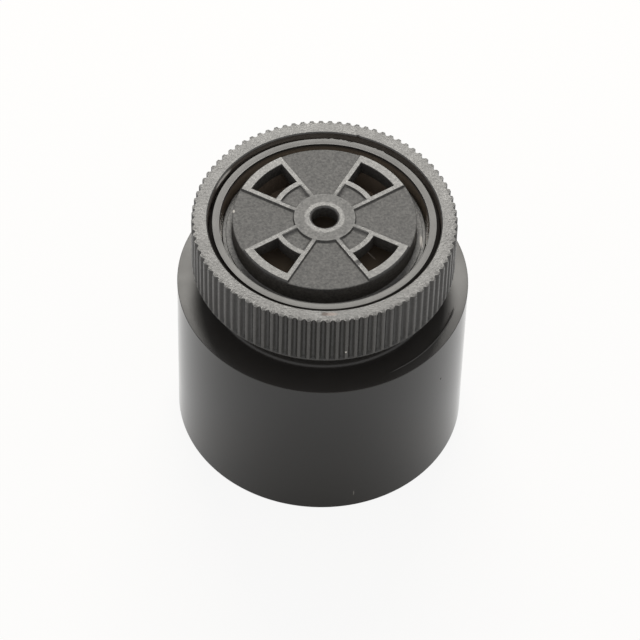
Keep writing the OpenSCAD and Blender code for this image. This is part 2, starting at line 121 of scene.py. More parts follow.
def turned_points(radius, height, angle):
    """Points of an outline carried round the axis: each is (r cos a, r sin a, z)."""
    angle = np.broadcast_to(angle, radius.shape)
    return np.stack([radius * np.cos(angle), radius * np.sin(angle), height], axis=-1).reshape(-1, 3)


def stacked(columns, *bands):
    """Bands of rows put one after another, each spread over all columns."""
    return np.concatenate([np.broadcast_to(band, (len(band), columns)) for band in bands])


def smooth(value, start, end):
    """0 before start, 1 after end and a smooth step between them."""
    t = np.clip((value - start) / (end - start), 0, 1)
    return t * t * (3 - 2 * t)


def arc(centre, radius, start_degrees, end_degrees, steps):
    """Points of a circular arc in the half-plane of radius and height."""
    angle = np.radians(np.linspace(start_degrees, end_degrees, steps))
    return np.column_stack([centre[0] + radius * np.cos(angle), centre[1] + radius * np.sin(angle)])


def path(*corners, steps=2):
    """Points along straight lines between corners, with a few steps on each line."""
    corners = np.array(corners)
    share = np.linspace(0, 1, steps, endpoint=False)[:, None]
    runs = [start * (1 - share) + end * share for start, end in zip(corners[:-1], corners[1:])]
    return np.concatenate(runs + [corners[-1:]])


# Thread

THREAD_PITCH = 2.1 * MM
THREAD_DEPTH = 0.45 * MM
THREAD_FLANK_SHARE = 0.32
THREAD_ROOT_SHARE = 0.3
THREAD_FADE = 0.6 * MM
RELIEF_TOP_H = 1.35 * MM

# Plain collar below the thread's relief, with a fillet onto the shoulder
COLLAR_H = 0.6 * MM
COLLAR_R = NECK_R - 0.2 * MM
FILLET_R = 0.45 * MM

# Top of the collar's bevel, and the rows of the grid there, as shares of the collar's height
COLLAR_BEVEL_SHARE = 1.2
COLLAR_ROW_SHARES = np.linspace(1.3, 0.9, 5)


def thread_share(angle, height):
    """Share of the full thread at each point: a trapezoid wave along the height that climbs one
    pitch in each turn, flat at its crests and roots."""
    phase = (height / THREAD_PITCH - angle / TURN) % 1.0
    wave = np.abs(2 * phase - 1)
    return np.clip((wave - THREAD_ROOT_SHARE) / THREAD_FLANK_SHARE, 0, 1)


# Housing

HOUSING_COLUMNS = 640
NECK_ROWS = 58
HOUSING_SHARP = math.radians(32)
SHOULDER_EDGE_R = 0.06 * MM
REAR_EDGE_R = 0.12 * MM
RIM_EDGE_R = 0.06 * MM

# Faint ridge on the shoulder, where two inserts of the mould met
RIDGE_R = 16.78 * MM
RIDGE_W = 0.07 * MM
RIDGE_H = 0.05 * MM
RIDGE_START, RIDGE_END = np.radians([-66.0, -16.0])
RIDGE_FADE = 0.12

# Faint line round the top of the rim
RIM_LINE_R = SOCKET_R + 0.12 * MM
RIM_LINE_W = 0.09 * MM
RIM_LINE_DEPTH = 0.012 * MM

# Two stretches of flash on the rim's outer edge, where the thread starts, and a notch between them.
# The flash is ragged by waves, each with its count per turn and its phase.
FLASH_STRETCHES = np.radians([[53.0, 63.0], [75.0, 90.0]])
FLASH_FADE = 0.05
FLASH_W = 0.12 * MM
FLASH_MEAN_SHARE = 0.4
RAGGED_WAVES = ((53, 0), (91, 1), (137, 2))
NOTCH_ANGLE = math.radians(74.0)
NOTCH_SPAN = 0.013
NOTCH_DEPTH = 0.3 * MM


def along_stretch(angle, start, end, fade):
    """1 along a stretch of the circle, fading to 0 at both ends."""
    angle = (angle + math.pi) % TURN - math.pi
    return smooth(angle, start, start + fade) * smooth(-angle, -end, -end + fade)


def build_housing():
    """Housing: its closed outline carried round the axis, with the thread on the neck.

    The outline runs from the port up the socket, over the rim, down the neck, out over the
    shoulder, down the body and back up inside. On the neck the radius is the larger of the
    collar's and the thread's, which is the root radius plus the thread's depth times its wave;
    near the top the lead-in chamfer limits it.
    """
    angle = np.linspace(0, TURN, HOUSING_COLUMNS, endpoint=False)[None, :]
    rim_r = NECK_R - RIM_CHAMFER_W
    root_r = NECK_R - THREAD_DEPTH
    inside = np.concatenate([
        path((PORT_R, CHAMBER_TOP_Z), (PORT_R, CAP_SEAT_Z), (SOCKET_R, CAP_SEAT_Z), steps=3)[:-1],
        path((SOCKET_R, CAP_SEAT_Z), (SOCKET_R, RIM_Z - RIM_EDGE_R), steps=5)[:-1],
        arc((SOCKET_R + RIM_EDGE_R, RIM_Z - RIM_EDGE_R), RIM_EDGE_R, 180, 90, 5)])
    rim = np.array([(RIM_LINE_R - RIM_LINE_W, RIM_Z), (RIM_LINE_R, RIM_Z - RIM_LINE_DEPTH),
                    (RIM_LINE_R + RIM_LINE_W, RIM_Z), (rim_r - RIM_EDGE_R, RIM_Z), (rim_r, RIM_Z)])
    neck_z = np.concatenate([np.linspace(RIM_Z - RIM_EDGE_R / 2, SHOULDER_Z + RELIEF_TOP_H, NECK_ROWS),
                             SHOULDER_Z + COLLAR_H * COLLAR_ROW_SHARES])
    fillet = arc((COLLAR_R + FILLET_R, SHOULDER_Z + FILLET_R), FILLET_R, 180, 270, 8)
    ridge_r = RIDGE_R + np.linspace(-2, 2, 9) * RIDGE_W
    shoulder = np.concatenate([np.linspace(fillet[-1, 0], ridge_r[0], 7)[1:-1], ridge_r])
    outside = np.concatenate([
        arc((BODY_R - SHOULDER_EDGE_R, SHOULDER_Z - SHOULDER_EDGE_R), SHOULDER_EDGE_R, 90, 0, 6),
        path((BODY_R, SHOULDER_Z - 2 * SHOULDER_EDGE_R), (BODY_R, 2 * REAR_EDGE_R), steps=6),
        arc((BODY_R - REAR_EDGE_R, REAR_EDGE_R), REAR_EDGE_R, 0, -90, 6),
        arc((WELL_R + REAR_EDGE_R, REAR_EDGE_R), REAR_EDGE_R, -90, -180, 6),
        path((WELL_R, LEDGE_Z / 2), (WELL_R, LEDGE_Z), (CAVITY_R, LEDGE_Z), (CAVITY_R, ROOF_Z),
             (SEAT_R, ROOF_Z), (SEAT_R, SEAT_Z), (CHAMBER_R, SEAT_Z), (CHAMBER_R, CHAMBER_TOP_Z),
             (2 * PORT_R, CHAMBER_TOP_Z))])

    ragged = sum(np.sin(count * angle + phase) for count, phase in RAGGED_WAVES)
    flash = sum(along_stretch(angle, start, end, FLASH_FADE) for start, end in FLASH_STRETCHES)
    flash = FLASH_W * np.clip(FLASH_MEAN_SHARE + ragged / len(RAGGED_WAVES), 0, 1) * flash
    notch = NOTCH_DEPTH * np.exp(-((angle - NOTCH_ANGLE) / NOTCH_SPAN) ** 2)
    outer_edge = rim[:, :1] > RIM_LINE_R + 2 * RIM_LINE_W
    rim_radius = rim[:, :1] + flash * (rim[:, :1] >= rim_r) - notch * outer_edge

    rise = neck_z[:, None] - SHOULDER_Z
    collar = (COLLAR_R - root_r) * smooth(-rise, -COLLAR_BEVEL_SHARE * COLLAR_H, -COLLAR_H)
    thread = thread_share(angle, neck_z[:, None]) * smooth(rise, RELIEF_TOP_H, RELIEF_TOP_H + THREAD_FADE)
    neck_radius = root_r + np.maximum(collar, THREAD_DEPTH * thread)
    chamfer_radius = rim_r + (RIM_Z - neck_z[:, None]) * RIM_CHAMFER_W / RIM_CHAMFER_H
    neck_radius = np.minimum(neck_radius, chamfer_radius)

    ridge = RIDGE_H * np.exp(-((shoulder[:, None] - RIDGE_R) / RIDGE_W) ** 2)
    ridge = ridge * along_stretch(angle, RIDGE_START, RIDGE_END, RIDGE_FADE)

    radius = stacked(HOUSING_COLUMNS, inside[:, :1], rim_radius, neck_radius, fillet[:, :1],
                     shoulder[:, None], outside[:, :1])
    height = stacked(HOUSING_COLUMNS, inside[:, 1:], rim[:, 1:], neck_z[:, None], fillet[:, 1:],
                     SHOULDER_Z + ridge, outside[:, 1:])
    points = turned_points(radius[::-1], height[::-1], angle)
    faces = grid_faces(*radius.shape).reshape(-1, 4)
    return mesh_object("housing_moulding", points, faces, HOUSING_SHARP)


# Lock ring

FLUTES = 88
FLUTE_W = 0.78 * MM
FLUTE_DEPTH = 0.4 * MM
FLUTE_EDGE_SHARE = 0.16
FLUTE_TURN_SHARE = 1 / 4
RUNOUT_END = 0.3 * MM
RUNOUT_START = 0.1 * RUNOUT_END
RING_EDGE = 0.06 * MM
RING_FOOT = 0.24 * MM
MOUTH_EDGE = 0.14 * MM
BORE_R = NECK_R + 0.15 * MM
BORE_LEAD_IN = 0.35 * MM
BORE_ROWS = 44
RING_SHARP = math.radians(35)

# Columns of the grid over half a flute, as shares of its half width
FLUTE_COLUMN_SHARES = np.array([0, 0.3, 0.58, 0.8, 0.94, 1.06, 1.22])

# Nick in the mouth's edge
MOUTH_NICK_ANGLE = math.radians(70.6)
MOUTH_NICK_SPAN = 0.012
MOUTH_NICK_DEPTH = 0.18 * MM


def build_lock_ring():
    """Lock ring: its closed outline carried round the axis, with round flutes outside.

    Across a flute, with x the distance from its centre as a share of its half width, the depth
    is the flute's depth times the positive part of 1 - x squared. That part is eased at the
    crests: half the sum of the value and the square root of its square plus a small share
    squared. The flutes run out just above the foot, which is plain. The bore has the neck's
    thread.
    """
    crest_share = TURN * RING_R / FLUTES / FLUTE_W
    shares = np.concatenate([-FLUTE_COLUMN_SHARES[:0:-1], FLUTE_COLUMN_SHARES, [crest_share]])
    hollow = 1 - shares ** 2
    depth = FLUTE_DEPTH * (hollow + np.sqrt(hollow ** 2 + FLUTE_EDGE_SHARE ** 2)) / 2
    depth[-1] = 0
    centres = (np.arange(FLUTES)[:, None] + FLUTE_TURN_SHARE) * TURN / FLUTES
    angle = (centres + shares * FLUTE_W / 2 / RING_R).reshape(1, -1)

    plain_r = RING_R - 2 * FLUTE_DEPTH
    foot = arc((RING_R - RING_FOOT, RING_Z + RING_FOOT), RING_FOOT, -90, 0, 7)
    wall = path((RING_R, RING_Z + RUNOUT_END), (RING_R, RING_TOP_Z - 2 * RING_EDGE), steps=5)
    edge = arc((RING_R - RING_EDGE, RING_TOP_Z - RING_EDGE), RING_EDGE, 0, 90, 4)
    mouth = np.array([(plain_r, RING_TOP_Z), (BORE_R + 3 * MOUTH_EDGE, RING_TOP_Z),
                      (BORE_R + MOUTH_EDGE, RING_TOP_Z), (BORE_R, RING_TOP_Z - MOUTH_EDGE)])
    bore_z = np.linspace(RING_TOP_Z - 2 * MOUTH_EDGE, RING_Z + BORE_LEAD_IN, BORE_ROWS)[:, None]
    base = np.array([(BORE_R + BORE_LEAD_IN, RING_Z), (plain_r, RING_Z)])

    outside = np.concatenate([foot, wall, edge])
    runout = smooth(outside[:, 1:], RING_Z + RUNOUT_START, RING_Z + RUNOUT_END)
    outside_radius = np.minimum(outside[:, :1], RING_R - np.tile(depth, FLUTES) * runout)
    nick = MOUTH_NICK_DEPTH * np.exp(-((angle - MOUTH_NICK_ANGLE) / MOUTH_NICK_SPAN) ** 2)
    mouth_radius = mouth[:, :1] + nick * (mouth[:, :1] < BORE_R + 2 * MOUTH_EDGE)
    bore_radius = BORE_R + THREAD_DEPTH * (1 - thread_share(angle, bore_z + THREAD_PITCH / 2))

    radius = stacked(angle.size, base[:, :1], outside_radius, mouth_radius, bore_radius)
    height = stacked(angle.size, base[:, 1:], outside[:, 1:], mouth[:, 1:], bore_z)
    faces = grid_faces(*radius.shape).reshape(-1, 4)
    return mesh_object("lock_ring_moulding", turned_points(radius, height, angle), faces, RING_SHARP)


# Grille cap

ARMS = 4
WINDOW_TILT = math.radians(14.4)
WINDOW_SIDE = 0.23 * MM
SIDE_RIB = 0.66 * MM
SKIRT_R = SOCKET_R - 1.55 * MM
WINDOW_OUT_R = SKIRT_R - 1.26 * MM
WINDOW_IN_R = WINDOW_OUT_R - 3.34 * MM
POCKET_OUT_R = WINDOW_IN_R - 0.75 * MM
HUB_R = 3.8 * MM
HOLE_R = 1.62 * MM
LIP_W = 0.26 * MM
LIP_H = 0.2 * MM
RIB_H = 0.27 * MM
ARM_CHAMFER = 0.2 * MM
FIELD_Z = RIB_TOP_Z - RIB_H
CAP_ROOF_Z = FIELD_Z - 1.5 * MM
FLANGE_TOP_Z = CAP_SEAT_Z + 2 * MM
FLANGE_STEP = 0.08 * MM
FLANGE_STEP_W = 0.5 * MM
FLANGE_FILLET = 0.2 * MM
SKIRT_IN_R = SKIRT_R - 1.1 * MM
EDGE_W = 0.07 * MM
EDGE_SHARES = np.array([-1.3, -1, -0.5, 0, 0.5, 1, 1.3])
DISC_EDGE_DROP = 0.05 * MM
DISC_EDGE_W = 0.1 * MM
WINDOW_EDGE_DROP = 0.05 * MM
CAP_SHARP = math.radians(38)

# Lines of the grid from an arm's centre to the side of its window, from the rib to half way to the
# next arm, and beside the window in widths of an edge; the rows across a window; and the radius
# inside which all lines are radial
WINDOW_LINES = 6
FIELD_LINES = 6
WINDOW_SIDE_SHARES = np.array([0, 0.6, 1.2, 4.1])
WINDOW_ROWS = 17
RADIAL_R = 0.75 * HUB_R

# Distance within which two radii count as one
SAME_R = 0.01 * MM

# Outline of the sound hole's rounded lip, as shares of its width and height
LIP_SHARES = np.array([(0, 2), (0, 1), (0.05, 0.75), (0.2, 0.48), (0.45, 0.25), (0.75, 0.08)])

# Nick in one straight rib
NICK_R = 8.25 * MM
NICK_ANGLE = math.radians(-63.5)
NICK_W = 0.2 * MM
NICK_DEPTH = 0.22 * MM


def cap_angles(radius):
    """Angles of the grid's lines from an arm's centre line to half way to the next arm.

    A line at the window's tilt that passes the axis at a distance d has, at radius r, the angle
    of the tilt plus the arcsine of d over r. Lines gather so along the window's side and along
    the outer edge of the straight rib, so that both edges lie on the grid.
    """
    half_pitch = TURN / ARMS / 2
    r = np.maximum(radius, RADIAL_R)[:, None]
    window_side = WINDOW_TILT + np.arcsin((WINDOW_SIDE + WINDOW_SIDE_SHARES * EDGE_W) / r)
    rib_edge = WINDOW_TILT + np.arcsin((WINDOW_SIDE + SIDE_RIB + EDGE_SHARES * EDGE_W) / r)
    inside = window_side[:, :1] * np.linspace(0, 1, WINDOW_LINES + 1)[None, :-1]
    across = np.linspace(0, 1, FIELD_LINES + 1)[None, 1:]
    outside = rib_edge[:, -1:] + (half_pitch - rib_edge[:, -1:]) * across
    return np.concatenate([inside, window_side, rib_edge, outside], axis=1)


def rib_share(radius, angle):
    """1 on top of the ribs and 0 on the recessed fields, from the distance to the ribs' edges.

    The ribs are the hub and the arms, less the pockets between the hub and the windows.
    """
    window = WINDOW_SIDE - radius * np.sin(angle - WINDOW_TILT)
    ribs = np.maximum(window + SIDE_RIB, HUB_R - radius)
    pocket_sides = np.minimum(radius - HUB_R, window)
    pocket = np.minimum(pocket_sides, POCKET_OUT_R - radius)
    return smooth(np.minimum(ribs, -pocket), -EDGE_W, EDGE_W)


def build_grille_cap():
    """Grille cap: a closed outline carried round the axis, its top raised into ribs.

    The outline runs out over the top, down the skirt, round the flange and back under the
    roof to the sound hole. The top's height is the field's height plus the ribs' height times
    the rib share, and the cells of the windows are left out and walled down to the roof. Rows
    gather at the edges of hub, pockets, windows and disc.
    """
    edges = EDGE_SHARES * EDGE_W
    window_rows = np.linspace(WINDOW_IN_R, WINDOW_OUT_R, WINDOW_ROWS)
    step_r = FLANGE_R - FLANGE_STEP_W
    step_z = FLANGE_TOP_Z - FLANGE_STEP
    top_r = np.concatenate([
        HOLE_R + LIP_W + np.array([0, 0.06, 0.7]) * MM, HUB_R + edges,
        np.linspace(HUB_R, POCKET_OUT_R, 6)[1:-1], POCKET_OUT_R + edges,
        WINDOW_IN_R - np.array([0.4, 0.12, 0.06]) * MM, window_rows,
        WINDOW_OUT_R + np.array([0.06, 0.12, 0.6]) * MM,
        SKIRT_R - np.array([0.4, 0.25, 0.2, 0.14, 0.08, 0.04, 0]) * MM])
    under = np.array([
        (SKIRT_R, FIELD_Z - 5 * DISC_EDGE_W), (SKIRT_R, FLANGE_TOP_Z + FLANGE_FILLET),
        (SKIRT_R + 0.3 * FLANGE_FILLET, FLANGE_TOP_Z + 0.3 * FLANGE_FILLET),
        (SKIRT_R + FLANGE_FILLET, FLANGE_TOP_Z), (step_r, FLANGE_TOP_Z),
        (step_r + 0.1 * FLANGE_STEP_W, step_z), (FLANGE_R - 0.2 * FLANGE_STEP_W, step_z),
        (FLANGE_R, step_z - FLANGE_STEP), (FLANGE_R, CAP_SEAT_Z), (SKIRT_IN_R, CAP_SEAT_Z),
        (SKIRT_IN_R, CAP_ROOF_Z)])
    roof_r = np.concatenate([window_rows[::-1], np.linspace(WINDOW_IN_R, HOLE_R, 4)[1:]])
    lip = (HOLE_R, RIB_TOP_Z) + LIP_SHARES * (LIP_W, -LIP_H)
    row_r = np.concatenate([top_r, under[:, 0], roof_r, lip[:, 0]])
    row_z = np.concatenate([np.full(len(top_r), FIELD_Z), under[:, 1], np.full(len(roof_r), CAP_ROOF_Z),
                            lip[:, 1]])
    is_top = np.arange(len(row_r)) < len(top_r)
    in_window = (row_r > WINDOW_IN_R - SAME_R) & (row_r < WINDOW_OUT_R + SAME_R)

    half = cap_angles(row_r)
    lines = half.shape[1]
    height = row_z[:, None] + RIB_H * rib_share(row_r[:, None], half) * is_top[:, None]
    arm_limit = RIB_TOP_Z - np.clip(row_r - (SKIRT_R - ARM_CHAMFER), 0, None)
    disc_edge = DISC_EDGE_DROP * smooth(row_r, SKIRT_R - DISC_EDGE_W, SKIRT_R + 0.3 * DISC_EDGE_W)
    height[is_top] = (np.minimum(height, arm_limit[:, None]) - disc_edge[:, None])[is_top]
    height[np.ix_(is_top & in_window, np.arange(lines) <= WINDOW_LINES)] -= WINDOW_EDGE_DROP

    arm_angle = np.concatenate([-half[:, :0:-1], half[:, :-1]], axis=1)
    arm_height = np.concatenate([height[:, :0:-1], height[:, :-1]], axis=1)
    arm_centres = (np.arange(ARMS) + 1 / 2) * TURN / ARMS
    angle = (arm_angle[:, None, :] + arm_centres[None, :, None]).reshape(len(row_r), -1)
    radius = np.broadcast_to(row_r[:, None], angle.shape)
    from_nick = np.hypot(radius * np.cos(angle) - NICK_R * math.cos(NICK_ANGLE),
                         radius * np.sin(angle) - NICK_R * math.sin(NICK_ANGLE))
    nick = NICK_DEPTH * np.exp(-(from_nick / NICK_W) ** 2) * is_top[:, None]
    points = turned_points(radius, np.tile(arm_height, (1, ARMS)) - nick, angle)

    rows, columns = angle.shape
    step = np.arange(columns) % arm_angle.shape[1] - (lines - 1)
    open_columns = (step >= -WINDOW_LINES) & (step < WINDOW_LINES)
    open_rows = in_window & np.roll(in_window, -1)
    faces = grid_faces(rows, columns)[~(open_rows[:, None] & open_columns[None, :])]
    walls = window_walls(in_window, len(top_r), columns, lines)
    faces = np.concatenate([faces, walls])[:, ::-1]
    return mesh_object("grille_cap_moulding", points, faces, CAP_SHARP)


def window_walls(in_window, top_rows, columns, lines):
    """Quads between each window's edge on top and the same edge under the roof.

    The edge is followed once round: along the inner arc, out along one side, back along the
    outer arc and in along the other side.
    """
    top = np.flatnonzero(in_window[:top_rows])
    roof = np.flatnonzero(in_window[top_rows:])[::-1] + top_rows
    across = np.arange(-WINDOW_LINES, WINDOW_LINES + 1)
    out = np.arange(len(top) - 1)
    level = np.concatenate([np.zeros_like(across[:-1]), out, np.full_like(across[:-1], len(top) - 1),
                            len(top) - 1 - out])
    step = np.concatenate([across[:-1], np.full_like(out, across[-1]), across[:0:-1],
                           np.full_like(out, across[0])])
    arm = np.arange(ARMS)[:, None]
    column = (arm * (columns // ARMS) + lines - 1 + step) % columns
    upper = top[level] * columns + column
    lower = roof[level] * columns + column
    quads = np.stack([upper, np.roll(upper, -1, axis=1), np.roll(lower, -1, axis=1), lower], axis=-1)
    return quads.reshape(-1, 4)


# Materials

# Kinds of node that come up often, and settings and inputs that several nodes share
NOISE = "ShaderNodeTexNoise"
RANGE = "ShaderNodeMapRange"
MATH = "ShaderNodeMath"
MIX = "ShaderNodeMix"
VECTOR_MATH = "ShaderNodeVectorMath"
PRODUCT = {"operation": "MULTIPLY"}
SUM = {"operation": "ADD"}
DIFFERENCE = {"operation": "SUBTRACT"}
LARGER = {"operation": "MAXIMUM"}
LENGTH = {"operation": "LENGTH"}
COLOURS = {"data_type": "RGBA"}
FINE_DETAIL = {"Detail": 3.0, "Roughness": 0.6}
SOFT_DETAIL = {"Detail": 2.0, "Roughness": 0.6}
NOISE_SPAN = {"From_Min": 0.3, "From_Max": 0.7}

ABS_IOR = 1.44
NYLON_IOR = 1.55
SMALL_PART_IOR = 1.5

# Patterns of the mouldings. The grain that a tool's polish or grit leaves is a few hundredths of a
# millimetre wide, which is too fine to show, so it is drawn this coarse.
ABS_GRAIN = 0.4 * MM
ABS_WAVES = 5 * MM
NYLON_GRAIN = 0.3 * MM
NYLON_CLOUDS = 2.5 * MM

# Roughness of each finish, how far wear, dust and grain change it, and the depth of its tooth
ABS_POLISH = (0.07, 0.12)
ABS_SATIN = 0.26
SOCKET_SMOOTHER = 0.2
SPECK_MATT = 0.5
RING_SATIN = (0.3, 0.37)
FLUTE_DULL = 0.1
BORE_DULL = 0.45
CRUST_DULL = 0.2
RING_SPECKLE = 0.06
RING_TOOTH = 0.06 * MM
FIELD_MATT = 0.56
RIB_SATIN = 0.47
RIB_SMOOTHER = 0.13
CAP_SPECKLE = 0.05
CAP_TOOTH = 0.02 * MM
PLASTIC_UNEVEN = 0.04
METAL_UNEVEN = 0.08

# Scale of the streaks in rolled metal, which run along the vertical
STREAK_SCALE = (1, 1, 0.08)


def linear(hex_colour):
    """Linear colour of an sRGB hex value."""
    channels = [int(hex_colour[i:i + 2], 16) / 255 for i in (1, 3, 5)]
    return tuple(c / 12.92 if c <= 0.04045 else ((c + 0.055) / 1.055) ** 2.4 for c in channels) + (1.0,)


def add(owner, kind, settings=None, **inputs):
    """A node with its settings and links.

    An input is a value, a socket, or a node whose first usable output feeds it. Inputs are named
    with underscores for blanks, or i and a number where names repeat.
    """
    node = owner.node_tree.nodes.new(kind)
    for key, value in (settings or {}).items():
        setattr(node, key, value)
    for key, value in inputs.items():
        numbered = key[0] == "i" and key[1:].isdigit()
        socket = node.inputs[int(key[1:]) if numbered else key.replace("_", " ")]
        if isinstance(value, bpy.types.Node):
            value = next(output for output in value.outputs if output.enabled)
        if isinstance(value, bpy.types.NodeSocket):
            owner.node_tree.links.new(value, socket)
        else:
            socket.default_value = value
    return node


def new_material(name):
    """An empty node material, with the Object coordinates that its patterns read."""
    material = bpy.data.materials.new(name)
    material.use_nodes = True
    material.node_tree.nodes.clear()
    return material, add(material, "ShaderNodeTexCoord").outputs["Object"]


def height_and_reach(material, coords):
    """Height above the floor and distance from the axis."""
    parts = add(material, "ShaderNodeSeparateXYZ", Vector=coords).outputs
    flat = add(material, "ShaderNodeCombineXYZ", X=parts["X"], Y=parts["Y"])
    return parts["Z"], add(material, VECTOR_MATH, LENGTH, i0=flat)


def at(radius, degrees, height):
    """A point from its distance from the axis, its angle round it and its height."""
    return (radius * math.cos(math.radians(degrees)), radius * math.sin(math.radians(degrees)), height)


def mark_share(material, coords, centre, half_size_mm, turn_degrees=0.0):
    """1 inside a small ellipsoid round a worn or dirty spot, fading to 0 at its edge.

    The fade starts half way out from the centre, and the turn is about the vertical.
    """
    local = add(material, "ShaderNodeMapping", {"vector_type": "TEXTURE"}, Vector=coords, Location=centre,
                Rotation=(0.0, 0.0, math.radians(turn_degrees)), Scale=[size * MM for size in half_size_mm])
    away = add(material, VECTOR_MATH, LENGTH, i0=local)
    return add(material, RANGE, Value=away, From_Min=1.0, From_Max=0.5)


def plastic_surface(material, colour, roughness, ior, *bumps):
    """Dielectric surface with bumps, each a strength, a depth and the pattern that gives its height."""
    normal = {}
    for strength, depth, height in bumps:
        normal = {"Normal": add(material, "ShaderNodeBump", Strength=strength, Distance=depth, Height=height,
                                **normal)}
    shader = add(material, "ShaderNodeBsdfPrincipled", Base_Color=colour, Roughness=roughness, IOR=ior,
                 **normal)
    add(material, "ShaderNodeOutputMaterial", Surface=shader)
    return material


def glossy_black_abs():
    """ABS moulded in a polished tool: near-black and glossy, so it shows a soft image of the floor.

    The shoulder and the neck are satin, the gloss wavers slowly, dust lies in the socket, whose wall is
    smoother than the neck, and the body has a short pale scratch and a matt speck. The socket's and the
    bulkhead's light brown is partly dust and partly painted light that lifts their shade, and a pale
    streak lies on the bulkhead.
    """
    material, coords = new_material("glossy_black_abs")
    height, reach = height_and_reach(material, coords)
    grain = add(material, NOISE, Vector=coords, Scale=1 / ABS_GRAIN, **FINE_DETAIL)
    waves = add(material, NOISE, Vector=coords, Scale=1 / ABS_WAVES, **SOFT_DETAIL)

    satin = add(material, RANGE, Value=height, From_Min=SHOULDER_Z - 0.1 * MM,
                From_Max=SHOULDER_Z - 0.02 * MM)
    above = add(material, RANGE, Value=height, From_Min=CAP_SEAT_Z - 0.4 * MM,
                From_Max=CAP_SEAT_Z - 0.1 * MM)
    below = add(material, RANGE, Value=height, From_Min=RIM_Z - 0.2 * MM, From_Max=RIM_Z - 0.8 * MM)
    inner = add(material, RANGE, Value=reach, From_Min=SOCKET_R + 0.1 * MM, From_Max=SOCKET_R)
    between = add(material, MATH, PRODUCT, i0=above, i1=below)
    # Dust and painted light: the socket and bulkhead get a light brown, partly dust and partly painted light
    # that lifts their shade
    dust_and_painted_light = add(material, MATH, PRODUCT, i0=between, i1=inner)
    scratch = mark_share(material, coords, at(BODY_R, -78.9, SHOULDER_Z - 20.8 * MM), (0.09, 0.3, 0.55))
    # A pale streak on the bulkhead behind a window
    pale_streak = mark_share(material, coords, at(6.1 * MM, -21.2, CAP_SEAT_Z), (1.0, 0.14, 0.1), -53.8)
    speck = mark_share(material, coords, at(BODY_R, -38.0, SHOULDER_Z - 6.5 * MM), (0.22, 0.22, 0.22))

    colour = add(material, MIX, COLOURS, i0=grain, i6=linear("#161514"), i7=linear("#1e1d1c"))
    for share, paint in ((satin, "#302e2c"), (dust_and_painted_light, "#8f8070"), (scratch, "#6f6d69"), (pale_streak, "#f0e4da")):
        colour = add(material, MIX, COLOURS, i0=share, i6=colour, i7=linear(paint))

    duller_above = add(material, RANGE, Value=satin, To_Max=ABS_SATIN)
    smoother_inside = add(material, RANGE, Value=dust_and_painted_light, To_Max=SOCKET_SMOOTHER)
    matt_speck = add(material, RANGE, Value=speck, To_Max=SPECK_MATT)
    dull = add(material, MATH, DIFFERENCE, i0=duller_above, i1=smoother_inside)
    dull = add(material, MATH, LARGER, i0=dull, i1=matt_speck)
    polish = add(material, RANGE, Value=waves, **NOISE_SPAN, To_Min=ABS_POLISH[0], To_Max=ABS_POLISH[1])
    roughness = add(material, MATH, SUM, i0=polish, i1=dull)
    return plastic_surface(material, colour, roughness, ABS_IOR, (0.08, 0.02 * MM, grain),
                           (0.04, 0.1 * MM, waves))


